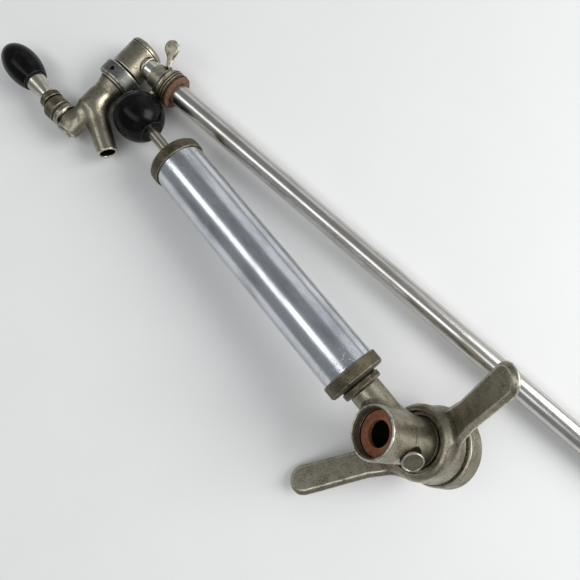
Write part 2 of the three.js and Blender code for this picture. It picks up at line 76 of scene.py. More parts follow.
def before_joint(name, distance):
    """The point that lies that many millimetres before the joint's place, along the joint's axis."""
    return Vector(joints[name]["pos_m"]) - distance * MM * joint_axis(name)


def placement(origin, along, across):
    """A frame at origin with Z along, and X as near to across as it can be."""
    z = along.normalized()
    x = (across - across.dot(z) * z).normalized()
    spot = Matrix((x, z.cross(x), z)).transposed().to_4x4()
    spot.translation = origin
    return spot


PIVOT_ALONG = 80  # from the rod's axis out to the lever's pivot
LEVER_LEAN = radians(8)
PUMP_ELEVATION = radians(33.4)  # of the barrel over the coupler's base

rod_way = joint_axis("gland_spin")
shank_way = joint_axis("coupling_nut_turn")
neck_way = joint_axis("ring_turn")
barrel_way = -joint_axis("plunger_draw")

rod_spot = placement(before_joint("gland_spin", 30), rod_way, Vector((0, 0, -1)))
shank_spot = placement(before_joint("coupling_nut_turn", 22), shank_way, -rod_way)
boss_spot = placement(shank_spot.translation + PIVOT_ALONG * MM * shank_way, -rod_way, -shank_way)
lever_way = -rod_way * cos(LEVER_LEAN) - shank_way * sin(LEVER_LEAN)
lever_spot = placement(Vector(joints["lever_open"]["pos_m"]), lever_way, -shank_way)
pump_spot = placement(before_joint("ring_turn", -22), neck_way, barrel_way)
barrel_spot = placement(pump_spot.translation, barrel_way, -neck_way)


# ---------------------------------------------------------------- turned pieces


def rounded(outline, radius):
    """Rounds the corners of a closed outline. Each point comes back with a mark for wear and shade: 1 on an outer
    corner, which the materials rub bright, -1 in an inner one, which they darken with painted shade, 0 on the
    flats."""
    points = []
    for place, corner in enumerate(outline):
        corner = np.array(corner, float)
        back = np.array(outline[place - 1], float) - corner
        ahead = np.array(outline[(place + 1) % len(outline)], float) - corner
        turn = atan2(back[1] * ahead[0] - back[0] * ahead[1], -(back @ ahead))
        if corner[0] == 0 or abs(turn) < FLAT_TURN:
            points.append((*corner, 0.0))
            continue
        reach = CORNER_SHARE * min(hypot(*back), hypot(*ahead))
        cut = min(radius * tan(abs(turn) / 2), reach)
        fade = min(cut + FADE, 1.1 * reach)
        back /= hypot(*back)
        ahead /= hypot(*ahead)
        wear_and_shade = 1.0 if turn > 0 else -1.0
        points.append((*(corner + fade * back), 0.0))
        for share in (0, 0.25, 0.5, 0.75, 1):
            near = (1 - share) ** 2 * back + share**2 * ahead
            points.append((*(corner + cut * near), wear_and_shade * (1 - abs(share - 0.5))))
        points.append((*(corner + fade * ahead), 0.0))
    return points


def mesh_from(name, points, faces, wear_and_shade):
    """A smooth mesh from points in millimetres. The materials read two attributes of it: a mark for worn edges
    and for inner corners that get painted shade, and place, which stays in the piece's own frame when the mesh is
    put in place."""
    mesh = bpy.data.meshes.new(name)
    places = points * MM
    mesh.from_pydata(places.tolist(), [], faces.tolist())
    mesh.attributes.new("wear_and_shade", "FLOAT", "POINT").data.foreach_set("value", wear_and_shade.astype(np.float32))
    own_place = mesh.attributes.new("place", "FLOAT_VECTOR", "POINT")
    own_place.data.foreach_set("vector", places.astype(np.float32).reshape(-1))
    shape = bmesh.new()
    shape.from_mesh(mesh)
    bmesh.ops.remove_doubles(shape, verts=shape.verts, dist=1e-7)
    shape.to_mesh(mesh)
    shape.free()
    mesh.shade_smooth()
    return mesh


def turned(name, outline, corner=0.4, thread=None):
    """A body turned about Z from a closed outline of (radius, height), counter-clockwise.
    thread is (radius, pitch, depth) for the part of the outline made by thread_line."""
    profile = np.array(rounded(outline, corner))
    angles = np.linspace(0, 2 * pi, AROUND, endpoint=False)
    radius = np.repeat(profile[:, :1], AROUND, axis=1)
    height = np.repeat(profile[:, 1:2], AROUND, axis=1)
    wear_and_shade = np.repeat(profile[:, 2:3], AROUND, axis=1)
    if thread:
        on_thread = np.abs(radius - thread[0]) < 1e-6
        ridge = np.abs((height / thread[1] - angles / (2 * pi)) % 1 * 2 - 1)
        radius = np.where(on_thread, radius - thread[2] * ridge, radius)
        # thread crests count as worn edges, and thread roots as inner corners that get painted shade
        wear_and_shade = np.where(on_thread, 1 - 2 * ridge, wear_and_shade)
    points = np.stack([radius * np.cos(angles), radius * np.sin(angles), height], -1).reshape(-1, 3)
    on_axis = profile[0, 0] == 0 and profile[-1, 0] == 0
    rows = np.arange(len(profile) - 1 if on_axis else len(profile))[:, None] * AROUND
    next_rows = (rows + AROUND) % (len(profile) * AROUND)
    columns = np.arange(AROUND)
    next_columns = (columns + 1) % AROUND
    corners = [rows + columns, rows + next_columns, next_rows + next_columns, next_rows + columns]
    return mesh_from(name, points, np.stack(corners, -1).reshape(-1, 4), wear_and_shade.reshape(-1))


def thread_line(radius, start, end, pitch):
    """Points along a threaded part of an outline, close enough together to carry its ridges."""
    count = int(abs(end - start) / pitch * THREAD_STEPS)
    return [(radius, height) for height in np.linspace(start, end, count)]


def ring_outline(inner, outer, low, high, cut=0.0):
    """The outline of a ring, with its outer edges cut back at 45 degrees."""
    if cut:
        side = [(outer - cut, low), (outer, low + cut), (outer, high - cut), (outer - cut, high)]
    else:
        side = [(outer, low), (outer, high)]
    return [(inner, low), *side, (inner, high)]


def arc(radius, centre, first, last, steps):
    """Points (radius, height) on a circle about the axis point at centre, from first to last degrees."""
    angles = [radians(first + (last - first) * step / steps) for step in range(steps + 1)]
    return [(radius * cos(angle), centre + radius * sin(angle)) for angle in angles]


# ---------------------------------------------------------------- cast pieces, as distance fields


def column(across, along, low, high, radii, edge):
    """Distance to a turned body. radii is one radius, or (height, radius) stations. edge rounds its rims."""
    if isinstance(radii, list):
        radii = np.interp(along, [height for height, _ in radii], [radius for _, radius in radii])
    side = across - radii + edge
    ends = np.abs(along - (low + high) / 2) - (high - low) / 2 + edge
    outside = np.hypot(np.maximum(side, 0), np.maximum(ends, 0))
    return np.minimum(np.maximum(side, ends), 0) + outside - edge


def fused(first, second, blend):
    """The union of two fields, with a fillet about as wide as blend."""
    share = np.clip(0.5 + 0.5 * (second - first) / blend, 0, 1)
    return second * (1 - share) + first * share - blend * share * (1 - share)


def common(first, second, blend):
    """What two fields share, with its new edge rounded by about blend."""
    return -fused(-first, -second, blend)


def carved(body, hole, blend=0.5):
    """The body with the hole taken out of it, and a slightly rounded rim."""
    return common(body, -hole, blend)


def plate(flat, away, thickness, cut):
    """Distance to a plate whose edges are cut back at 45 degrees, from the distance to its outline in its
    plane and the distance from that plane."""
    face = np.abs(away) - thickness / 2
    bevel = (flat + face + cut) * 0.5**0.5
    return common(common(flat, face, 0.4), bevel, 0.6)


def about(points, direction, origin=(0, 0, 0)):
    """Distance from the line through origin, and distance along it."""
    direction = np.array(direction, float) / np.linalg.norm(direction)
    offset = points - np.array(origin, float)
    along = offset @ direction
    across = np.sqrt(np.maximum((offset**2).sum(-1) - along**2, 0))
    return across, along


def slope_of(field, points, reach=0.05):
    """The field's gradient, and the sum of its curvatures, at some points."""
    middle = field(points)
    gradient = np.zeros(points.shape)
    bend = -6 * middle
    for axis, step in enumerate(np.eye(3) * reach):
        above, below = field(points + step), field(points - step)
        gradient[:, axis] = (above - below) / (2 * reach)
        bend += above + below
    return middle, gradient, bend / reach**2


def crossing_points(values, cells):
    """The mean of the points where the field changes sign on the edges of each cell, in grid steps."""
    total, hits = np.zeros((len(cells), 3)), np.zeros(len(cells))
    for way in np.eye(3, dtype=int):
        for corner in np.argwhere(np.ones((2, 2, 2))):
            if corner @ way:
                continue
            start = cells + corner
            near, far = values[tuple(start.T)], values[tuple((start + way).T)]
            cut = (near < 0) != (far < 0)
            share = np.where(cut, near / np.where(cut, near - far, 1), 0)
            total += cut[:, None] * (start + share[:, None] * way)
            hits += cut
    return total / hits[:, None]


def crossing_faces(inside, number):
    """A quad round each grid edge on which the field changes sign, facing out of the body."""
    quads = []
    for axis in range(3):
        near, far = np.delete(inside, -1, axis), np.delete(inside, 0, axis)
        edges = np.argwhere(near != far)
        side, other = np.roll(np.eye(3, dtype=int), -axis, axis=0)[1:]
        around = [edges - side - other, edges - other, edges, edges - side]
        quad = np.stack([number[tuple(cell.T)] for cell in around], 1)
        leaving = near[tuple(edges.T)]
        quads.append(np.where(leaving[:, None], quad, quad[:, ::-1]))
    return np.concatenate(quads)


def evened(points, quads):
    """Each point moved halfway to the mean of its neighbours."""
    total, count = np.zeros(points.shape), np.zeros(len(points))
    for first, second in ((0, 1), (1, 2), (2, 3), (3, 0)):
        for start, end in ((first, second), (second, first)):
            np.add.at(total, quads[:, start], points[quads[:, end]])
            np.add.at(count, quads[:, start], 1)
    return (points + total / count[:, None]) / 2


def cast(name, field, low, high, step, recess=None):
    """The surface where the field is zero, inside the box from low to high. recess is a second field:
    inside it, and just round it, the surface gets painted shade, as dark as a deep corner."""
    ranges = [np.arange(start, end + step, step) for start, end in zip(low, high)]
    values = field(np.stack(np.meshgrid(*ranges, indexing="ij"), -1))
    inside = values < 0
    filled = inside.astype(int)
    for axis in range(3):
        filled = np.delete(filled, -1, axis) + np.delete(filled, 0, axis)
    cells = np.argwhere((filled > 0) & (filled < 8))  # some of the cell's 8 corners are inside, but not all
    number = np.zeros(filled.shape, int)
    number[tuple(cells.T)] = np.arange(len(cells))
    quads = crossing_faces(inside, number)
    points = np.array(low) + step * crossing_points(values, cells)
    for _ in range(SMOOTHINGS):
        points = evened(points, quads)
        for _ in range(SMOOTHINGS):
            height, gradient, _ = slope_of(field, points)
            steepness = np.maximum((gradient**2).sum(-1), 0.1)
            points -= np.clip(height / steepness, -step, step)[:, None] * gradient
    _, _, bend = slope_of(field, points, reach=0.5)
    # outer bends count as worn edges, and inner bends as inner corners that get painted shade
    wear_and_shade = np.where(bend > 0, np.clip(bend - 0.15, 0, 1), np.clip(4 * bend, -1, 0))
    # inside a recess, and just round it, the mark is set for full painted shade
    if recess:
        wear_and_shade = np.where(recess(points) < SHADE_MARGIN, -1.0, wear_and_shade)
    return mesh_from(name, points, quads, wear_and_shade)


# ---------------------------------------------------------------- materials


class Look:
    """One procedural material. Sizes are in millimetres. With a grain, it follows the piece's own axis."""

    def __init__(self, name, metallic, grain=False):
        self.material = bpy.data.materials.new(name)
        self.material.use_nodes = True
        self.tree = self.material.node_tree
        self.shader = self.tree.nodes["Principled BSDF"]
        self.shader.inputs["Metallic"].default_value = metallic
        self.wear_and_shade = self.attribute("wear_and_shade").outputs["Fac"]
        if grain:
            self.place = self.attribute("place").outputs["Vector"]
        else:
            self.place = self.node("ShaderNodeTexCoord", {}).outputs["Object"]

    def feed(self, socket, value):
        if isinstance(value, bpy.types.NodeSocket):
            self.tree.links.new(value, socket)
        else:
            socket.default_value = value

    def node(self, kind, inputs, **settings):
        made = self.tree.nodes.new(kind)
        for key, value in settings.items():
            setattr(made, key, value)
        for key, value in inputs.items():
            self.feed(made.inputs[key], value)
        return made

    def attribute(self, name):
        return self.node("ShaderNodeAttribute", {}, attribute_name=name)

    def spread(self, stretch):
        """The place, squeezed along each axis by stretch."""
        if stretch == (1, 1, 1):
            return self.place
        inputs = {0: self.place, 1: stretch}
        return self.node("ShaderNodeVectorMath", inputs, operation="MULTIPLY").outputs[0]

    def noise(self, size, detail=3.0, stretch=(1, 1, 1)):
        """Cloudy values from 0 to 1, with patches of about that size."""
        inputs = {"Vector": self.spread(stretch), "Scale": 1 / (size * MM)}
        return self.node("ShaderNodeTexNoise", {**inputs, "Detail": detail, "Roughness": 0.6}).outputs["Fac"]

    def cells(self, size):
        """Distance from the nearest of many scattered points, from 0 up to about 1."""
        inputs = {"Vector": self.place, "Scale": 1 / (size * MM)}
        return self.node("ShaderNodeTexVoronoi", inputs).outputs["Distance"]

    def height(self):
        """The place along the piece's axis, in metres. Only a look with a grain has it."""
        return self.node("ShaderNodeSeparateXYZ", {0: self.place}).outputs["Z"]

    def steps(self, value, low, high, start=0.0, end=1.0):
        """value, carried smoothly from the range low to high over to the range start to end."""
        inputs = {"Value": value, "From Min": low, "From Max": high, "To Min": start, "To Max": end}
        return self.node("ShaderNodeMapRange", inputs, interpolation_type="SMOOTHSTEP").outputs["Result"]

    def math(self, operation, first, second):
        return self.node("ShaderNodeMath", {0: first, 1: second}, operation=operation).outputs[0]

    def mix(self, share, first, second):
        """A colour between two colours."""
        return self.node("ShaderNodeMix", {0: share, 6: first, 7: second}, data_type="RGBA").outputs[2]

    def bump(self, value, depth, normal=None):
        """A surface that stands up by depth where value is 1."""
        inputs = {"Height": value, "Distance": depth * MM}
        if normal:
            inputs["Normal"] = normal
        return self.node("ShaderNodeBump", inputs).outputs["Normal"]

    def finish(self, colour, roughness, normal):
        self.feed(self.shader.inputs["Base Color"], colour)
        self.feed(self.shader.inputs["Roughness"], roughness)
        self.feed(self.shader.inputs["Normal"], normal)
        return self.material


def tint(red, green, blue):
    """An opaque colour."""
    return (red, green, blue, 1.0)


def worn_metal(name, clean, stained, grime_and_shade, bright, roughness, grain, pitting):
    """Old plate: mottled and speckled with painted glints, rubbed bright on the edges, dark in the pits, and
    darkened by painted shade mixed with dirt in the corners and recesses.
    """
    look = Look(name, 1.0)

    # mottled and speckled plate, with painted glints: pale specks in the colour where it is rough, standing in for
    # highlights
    patches = look.noise(11, 4.0)
    specks = look.noise(1.3, 3.0)
    colour = look.mix(look.steps(patches, 0.38, 0.66), clean, stained)
    colour = look.mix(look.math("MULTIPLY", look.steps(specks, 0.5, 0.66), 0.65), colour, stained)
    sparks = look.steps(look.noise(0.9, 2.0), 0.56, 0.66)
    painted_glints = look.math("MULTIPLY", sparks, look.steps(patches, 0.4, 0.55))
    colour = look.mix(look.math("MULTIPLY", painted_glints, 0.55), colour, bright)

    # pits in some areas; painted shade mixed with dirt in the inner corners, and full painted shade in the
    # recesses
    gate = look.steps(look.noise(7), 0.42, 0.56)
    large = look.steps(look.cells(3.2), 0.22, 0.12)
    small = look.steps(look.cells(1.5), 0.25, 0.12)
    pits = look.math("MULTIPLY", look.math("MAXIMUM", large, small), look.math("MULTIPLY", gate, pitting))
    corners = look.steps(look.wear_and_shade, -0.08, -0.8)
    shade_and_dirt = look.math("MULTIPLY", corners, look.steps(specks, 0.3, 0.6, 0.45, 1.0))
    # full painted shade where the mark is lowest, in the recesses
    shade_and_dirt = look.math("MAXIMUM", shade_and_dirt, look.steps(look.wear_and_shade, -0.9, -0.99))
    colour = look.mix(look.math("MAXIMUM", pits, shade_and_dirt), colour, grime_and_shade)

    # bare edges
    rubbed = look.math("MULTIPLY", look.steps(look.wear_and_shade, 0.1, 0.5), look.steps(look.noise(3), 0.3, 0.55))
    colour = look.mix(rubbed, colour, bright)

    rough = look.steps(patches, 0.35, 0.7, roughness, roughness + 0.12)
    rough = look.math("ADD", rough, look.math("MULTIPLY", shade_and_dirt, 0.25))
    normal = look.bump(look.noise(0.7, 4.0), grain)
    normal = look.bump(look.math("SUBTRACT", 1.0, pits), 0.12, normal)
    return look.finish(colour, rough, normal)


def bare_tube(name, base, dull, roughness, ends=(0.0, 1.0)):
    """Bright drawn tube: fine lines along its axis, scratches, and pits that gather near its two ends, which
    are given as heights in metres."""
    look = Look(name, 1.0, grain=True)
    lines = look.noise(0.5, 2.0, (1, 1, 0.02))
    scratches = look.steps(look.noise(1.4, 2.0, (1, 1, 0.06)), 0.66, 0.72)
    clouds = look.noise(20, 4.0, (1, 1, 0.4))
    height = look.height()
    low_end = look.steps(height, ends[0], ends[0] + 0.04, 1.0, 0.0)
    high_end = look.steps(height, ends[1] - 0.035, ends[1], 0.0, 1.0)
    near_end = look.math("MAXIMUM", low_end, high_end)
    gate = look.steps(look.noise(4), 0.66, 0.6)
    few = look.steps(look.math("ADD", look.noise(9), look.math("MULTIPLY", near_end, 0.3)), 0.68, 0.78)
    pits = look.math("MULTIPLY", look.steps(look.cells(1.5), 0.3, 0.12), look.math("MULTIPLY", few, gate))
    colour = look.mix(look.steps(clouds, 0.4, 0.7), base, dull)
    colour = look.mix(look.math("MULTIPLY", scratches, 0.3), colour, dull)
    colour = look.mix(pits, colour, tint(0.05, 0.045, 0.035))
    rough = look.steps(clouds, 0.3, 0.7, roughness, roughness + 0.06)
    rough = look.math("ADD", rough, look.math("MULTIPLY", scratches, 0.12))
    normal = look.bump(lines, 0.0015)
    normal = look.bump(look.math("SUBTRACT", 1.0, pits), 0.1, normal)
    return look.finish(colour, rough, normal)


def handled_plastic(name, base, worn):
    """Black handle: satin, with fine scratches and paler rubbed edges."""
    look = Look(name, 0.0, grain=True)
    look.shader.inputs["Specular IOR Level"].default_value = 0.13
    scratches = look.steps(look.noise(1.6, 2.0, (1, 1, 0.15)), 0.6, 0.68)
    haze = look.noise(9)
    colour = look.mix(look.steps(haze, 0.4, 0.75, 0.0, 0.04), base, worn)
    colour = look.mix(look.math("MULTIPLY", look.steps(look.wear_and_shade, 0.3, 0.9), 0.9), colour, worn)
    rough = look.steps(haze, 0.3, 0.7, 0.15, 0.27)
    rough = look.math("ADD", rough, look.math("MULTIPLY", scratches, 0.15))
    return look.finish(colour, rough, look.bump(look.noise(1.1, 4.0), 0.015))


def old_rubber(name, base, worn):
    """Perished rubber: matt, cracked and rubbed pale."""
    look = Look(name, 0.0)
    cloud = look.noise(4, 4.0)
    colour = look.mix(look.steps(cloud, 0.35, 0.65), base, worn)
    colour = look.mix(look.steps(look.wear_and_shade, 0.2, 0.9, 0.0, 0.6), colour, worn)
    rough = look.steps(cloud, 0.3, 0.7, 0.6, 0.85)
    return look.finish(colour, rough, look.bump(look.noise(0.9, 4.0), 0.12))


# the dark of pits, and of the painted shade in corners and recesses
SOOT_AND_SHADE = tint(0.02, 0.016, 0.012)
PALE = tint(0.66, 0.63, 0.54)
DULL = tint(0.32, 0.285, 0.21)
GILT = tint(0.72, 0.58, 0.32)

NICKEL = worn_metal(
    "worn_nickel",
    clean=tint(0.38, 0.352, 0.27),
    stained=tint(0.215, 0.19, 0.135),
    grime_and_shade=tint(0.025, 0.02, 0.015),
    bright=PALE,
    roughness=0.33,
    grain=0.08,
    pitting=0.8,
)
STAINED_NICKEL = worn_metal(
    "stained_nickel",
    clean=tint(0.30, 0.275, 0.205),
    stained=tint(0.15, 0.13, 0.09),
    grime_and_shade=SOOT_AND_SHADE,
    bright=PALE,
    roughness=0.36,
    grain=0.12,
    pitting=0.95,
)
ROUGH_NICKEL = worn_metal(
    "rough_nickel",
    clean=tint(0.17, 0.145, 0.10),
    stained=tint(0.08, 0.065, 0.042),
    grime_and_shade=SOOT_AND_SHADE,
    bright=DULL,
    roughness=0.42,
    grain=0.16,
    pitting=0.9,
)
STEEL = worn_metal(
    "worn_steel",
    clean=tint(0.24, 0.24, 0.225),
    stained=tint(0.14, 0.14, 0.13),
    grime_and_shade=tint(0.03, 0.03, 0.027),
    bright=PALE,
    roughness=0.34,
    grain=0.07,
    pitting=0.8,
)
BRIGHT = worn_metal(
    "bright_plate",
    clean=tint(0.62, 0.60, 0.52),
    stained=tint(0.46, 0.43, 0.35),
    grime_and_shade=tint(0.12, 0.10, 0.08),
    bright=PALE,
    roughness=0.24,
    grain=0.03,
    pitting=0.4,
)
BRASS = worn_metal(
    "dull_brass",
    clean=tint(0.50, 0.37, 0.17),
    stained=tint(0.30, 0.22, 0.10),
    grime_and_shade=tint(0.07, 0.05, 0.03),
    bright=GILT,
    roughness=0.35,
    grain=0.05,
    pitting=0.5,
)
CHROME = bare_tube("chrome_tube", tint(0.70, 0.725, 0.76), tint(0.44, 0.46, 0.49), 0.2, (0.062, 0.288))
POLISHED = bare_tube("polished_rod", tint(0.62, 0.60, 0.57), tint(0.46, 0.44, 0.40), 0.22)
OLD_ROD = bare_tube("old_rod", tint(0.42, 0.39, 0.32), tint(0.28, 0.25, 0.19), 0.28)
BLACK = handled_plastic("satin_black", tint(0.002, 0.002, 0.002), tint(0.11, 0.11, 0.115))
RED_RUBBER = old_rubber("red_rubber", tint(0.24, 0.075, 0.03), tint(0.36, 0.15, 0.075))
AGED_RUBBER = old_rubber("aged_rubber", tint(0.085, 0.04, 0.02), tint(0.19, 0.095, 0.05))
DARK_RUBBER = old_rubber("dark_rubber", tint(0.014, 0.013, 0.012), tint(0.05, 0.048, 0.044))


# ---------------------------------------------------------------- putting pieces in place


def fit(mesh, node, spot, material):
    """Puts a mesh in place so that it rides with that CAD node's body."""
    mesh.transform(spot)
    mesh.materials.append(material)
    piece = bpy.data.objects.new(mesh.name, mesh)
    bpy.context.scene.collection.objects.link(piece)
    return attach(piece, body_of_node[node])


def stand_in(mesh, node, spot, material):
    """Puts a mesh in place of that CAD node."""
    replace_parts(fit(mesh, node, spot, material), node)


def turn_piece(node, spot, material, outline, corner=0.4):
    stand_in(turned(f"{node}_form", outline, corner), node, spot, material)


# ---------------------------------------------------------------- draw rod half

AXIS = (0, 0, 1)
GAP = 0.3  # between pieces that touch
ROD_HOLE = 9.9  # through the castings that the rod passes
WASHER_BORE = 9.83

ROD = SimpleNamespace(radius=9.525, bore=8.025, start=2, end=706)
FOOT = SimpleNamespace(end=717.5, notch_half=2.5, notch_depth=6)
HEAD = SimpleNamespace(
    back=-14,
    radius=15,
    dome=4.5,
    face=15.5,
    neck=11,
    neck_end=19.8,
    flange=13.6,
    flange_start=19.5,
    flange_end=21.8,
    groove=15.2,
    groove_along=-9,
    socket=10.7,
    socket_end=13.2,
    socket_bore=9.8,
    socket_floor=3.2,
    bore=6,
)
NUT = SimpleNamespace(radius=17.5, start=17, end=30, edge=1.6, mouth=11.3, chamber=14.5, chamber_start=19.2)
PINS = SimpleNamespace(radius=1.9, along=23.8, floor=15.3, first=6, count=4)
GLAND = SimpleNamespace(start=19.5, collar_end=35.2, core=13.4, core_start=30, core_end=42.6, washer=15.4)
EAR = SimpleNamespace(
    tilt=radians(25), reach=26.8, along=20, radius=7.2, root_reach=10, root_along=27.5, thickness=3.8, cut=1.3
)
GLAND_THREAD = SimpleNamespace(radius=15.9, pitch=2.4, depth=0.9, start=35.4, end=43, inner=13.2)


def rod_head_field(points):
    """The cross head: a domed barrel along the shank, with a neck and flange for the coupling nut."""
    across, along = about(points, AXIS)
    body = column(across, along, HEAD.back, 40, HEAD.radius, HEAD.dome)
    body = carved(body, HEAD.face - along, 1.0)
    body = fused(body, column(across, along, 0, HEAD.neck_end, HEAD.neck, 0.3), 0.6)
    body = fused(body, column(across, along, HEAD.flange_start, HEAD.flange_end, HEAD.flange, 0.3), 0.6)
    groove = np.hypot(across - HEAD.groove, along - HEAD.groove_along) - 0.4
    body = carved(body, groove, 0.6)
    rod_across, rod_along = about(points, (-1, 0, 0))
    body = fused(body, column(rod_across, rod_along, 0, HEAD.socket_end, HEAD.socket, 0.8), 1.2)
    socket = column(rod_across, rod_along, HEAD.socket_floor, 30, HEAD.socket_bore, CUT_EDGE)
    body = carved(body, socket, 0.6)
    return carved(body, column(across, along, 0, 40, HEAD.bore, CUT_EDGE))


def pin_hole_field(points):
    """The blind holes round the coupling nut, which a pin spanner turns."""
    holes = []
    for number in range(PINS.count):
        angle = radians(PINS.first + number * 360 / PINS.count)
        across, along = about(points, (cos(angle), sin(angle), 0), (0, 0, PINS.along))
        holes.append(column(across, along, PINS.floor, 25, PINS.radius, CUT_EDGE))
    return np.minimum.reduce(holes)


def coupling_nut_field(points):
    """The coupling nut: a smooth collar with blind holes in its side."""
    across, along = about(points, AXIS)
    body = column(across, along, NUT.start, NUT.end, NUT.radius, NUT.edge)
    body = carved(body, column(across, along, 10, 40, NUT.mouth, CUT_EDGE), 0.4)
    body = carved(body, column(across, along, NUT.chamber_start, 40, NUT.chamber, CUT_EDGE), 0.6)
    return carved(body, pin_hole_field(points), 0.5)


def ear_field(points, along):
    """The gland nut's two ears: drop-shaped plates, swept back."""
    away = points[..., 0] * cos(EAR.tilt) + points[..., 1] * sin(EAR.tilt)
    reach = np.abs(points[..., 1] * cos(EAR.tilt) - points[..., 0] * sin(EAR.tilt))
    tip = np.hypot(reach - EAR.reach, along - EAR.along) - EAR.radius
    share = np.clip((reach - EAR.root_reach) / (EAR.reach - EAR.root_reach), 0, 1)
    middle = EAR.root_along - (EAR.root_along - EAR.along) * share
    root = np.abs(along - middle) - (3.0 + 0.8 * share)
    root = np.maximum(root, np.abs(reach - 18) - 9)
    return plate(fused(tip, root, 3.0), away, EAR.thickness, EAR.cut)


def gland_nut_field(points):
    """The gland nut: a sleeve with a shoulder and two ears."""
    across, along = about(points, AXIS)
    stations = [(19.5, 11), (31, 11), (33.5, 15.1), (35, 15.1)]
    body = column(across, along, GLAND.start, GLAND.collar_end, stations, 0.8)
    body = fused(body, column(across, along, GLAND.core_start, GLAND.core_end, GLAND.core, 0.3), 0.5)
    body = fused(body, ear_field(points, along), 2.0)
    return carved(body, column(across, along, 10, 60, ROD_HOLE, CUT_EDGE))


def rod_foot_field(points):
    """The castellated end of the rod."""
    across, along = about(points, AXIS)
    body = column(across, along, ROD.end + GAP, FOOT.end, ROD.radius, 0.3)
    body = carved(body, column(across, along, ROD.end - 5, FOOT.end + 5, ROD.bore, CUT_EDGE), 0.3)
    notch_across = np.minimum(np.abs(points[..., 0]), np.abs(points[..., 1])) - FOOT.notch_half
    return carved(body, np.maximum(notch_across, FOOT.end - FOOT.notch_depth - along), 0.6)


def build_gland_thread():
    """The thread on the nut's end. The CAD nut has plain ring grooves in its place."""
    thread = GLAND_THREAD
    line = thread_line(thread.radius, thread.start, thread.end, thread.pitch)
    sleeve = [(thread.inner, thread.start), *line, (thread.inner, thread.end)]
    mesh = turned("gland_thread", sleeve, 0.2, (thread.radius, thread.pitch, thread.depth))
    fit(mesh, "gland_nut", rod_spot, ROUGH_NICKEL)


def build_rod_half():
    wall = ring_outline(ROD.bore, ROD.radius, ROD.start, ROD.end)
    turn_piece("draw_rod", rod_spot, POLISHED, wall, 0.2)
    foot = cast("rod_foot_form", rod_foot_field, (-10.5, -10.5, 705), (10.5, 10.5, 719), 0.4)
    stand_in(foot, "rod_foot", rod_spot, POLISHED)
    head = cast("rod_head_form", rod_head_field, (-16.5, -16.5, -15.5), (16.5, 16.5, 23), 0.5)
    stand_in(head, "rod_head", shank_spot, NICKEL)
    low, high = (-18.5, -18.5, 16), (18.5, 18.5, 31)
    # the blind pin holes get painted shade inside
    nut = cast("coupling_nut_form", coupling_nut_field, low, high, 0.4, pin_hole_field)
    stand_in(nut, "coupling_nut", shank_spot, STEEL)
    gland = cast("gland_nut_form", gland_nut_field, (-20, -36, 11), (20, 36, 44), 0.45)
    stand_in(gland, "gland_nut", rod_spot, NICKEL)
    build_gland_thread()
    washer = ring_outline(WASHER_BORE, GLAND.washer, GLAND_THREAD.end + GAP, 46, 0.5)
    turn_piece("gland_washer", rod_spot, AGED_RUBBER, washer)


# ---------------------------------------------------------------- faucet

SPOUT_ROOT, SPOUT_TIP = (0, 0, 57), (-39.5, 0, 80)
SPOUT_LENGTH = hypot(SPOUT_TIP[0], SPOUT_TIP[2] - SPOUT_ROOT[2])
SPOUT_BORE = 6.7
FAUCET = SimpleNamespace(tail=23.9, end=62, tail_bore=8.8, shaft_bore=5.4, plug_bore=6.1, plug_start=87)
HOUSING = SimpleNamespace(radius=9, start=45, end=90, lift=1.5)
BOSS = SimpleNamespace(top=15.6, bore=6.6, floor=2)
PLUG_LIFT = 3  # of the front plug's axis over the shank's
STEM_RADIUS = 3.2
STEM_BORE = 3.5  # of the pieces that sit on the stem
EGG = SimpleNamespace(start=40.3, widest=59.5, end=82.5, radius=15.2, tail=26.5, seat=9.6)

spout_way = np.array(SPOUT_TIP) - np.array(SPOUT_ROOT)


def faucet_body_field(points):
    """The faucet casting: shank, shaft housing, lever boss and spout run together with wide fillets."""
    across, along = about(points, AXIS)
    shank = [(23.9, 14.2), (31, 14.2), (32.5, 12.9), (41, 11.3), (66, 11.3)]
    body = column(across, along, FAUCET.tail, FAUCET.end, shank, 1.0)
    housing_place = about(points, AXIS, (HOUSING.lift, 0, 0))
    body = fused(body, column(*housing_place, HOUSING.start, HOUSING.end, HOUSING.radius, 2.4), 5.0)
    spout_place = about(points, spout_way, SPOUT_ROOT)
    pipe = [(0, 10.6), (SPOUT_LENGTH * 0.75, 9.2), (SPOUT_LENGTH, 8.6)]
    body = fused(body, column(*spout_place, 0, SPOUT_LENGTH, pipe, 0.7), 8.0)
    boss_place = about(points, (1, 0, 0), (0, 0, PIVOT_ALONG))
    boss = [(0, 8.6), (9, 8.8), (11.5, 10.9), (15.6, 10.9)]
    body = fused(body, column(*boss_place, 0, BOSS.top, boss, 0.7), 4.0)
    pipe_bore = [(4, 5.2), (28, SPOUT_BORE), (70, SPOUT_BORE)]
    body = carved(body, column(*spout_place, 4, 70, pipe_bore, CUT_EDGE), 0.8)
    body = carved(body, column(across, along, 10, 45, FAUCET.tail_bore, CUT_EDGE))
    body = carved(body, column(across, along, 20, 87.3, FAUCET.shaft_bore, CUT_EDGE))
    plug_place = about(points, AXIS, (PLUG_LIFT, 0, 0))
    body = carved(body, column(*plug_place, FAUCET.plug_start, 99, FAUCET.plug_bore, CUT_EDGE))
    return carved(body, column(*boss_place, BOSS.floor, 30, BOSS.bore, CUT_EDGE), 0.8)


def spout_bore_field(points):
    """The inside of the spout, away from its rim, which gets painted shade."""
    across, along = about(points, spout_way, SPOUT_ROOT)
    return np.maximum(across - SPOUT_BORE - 0.2, along - SPOUT_LENGTH + 1.2)


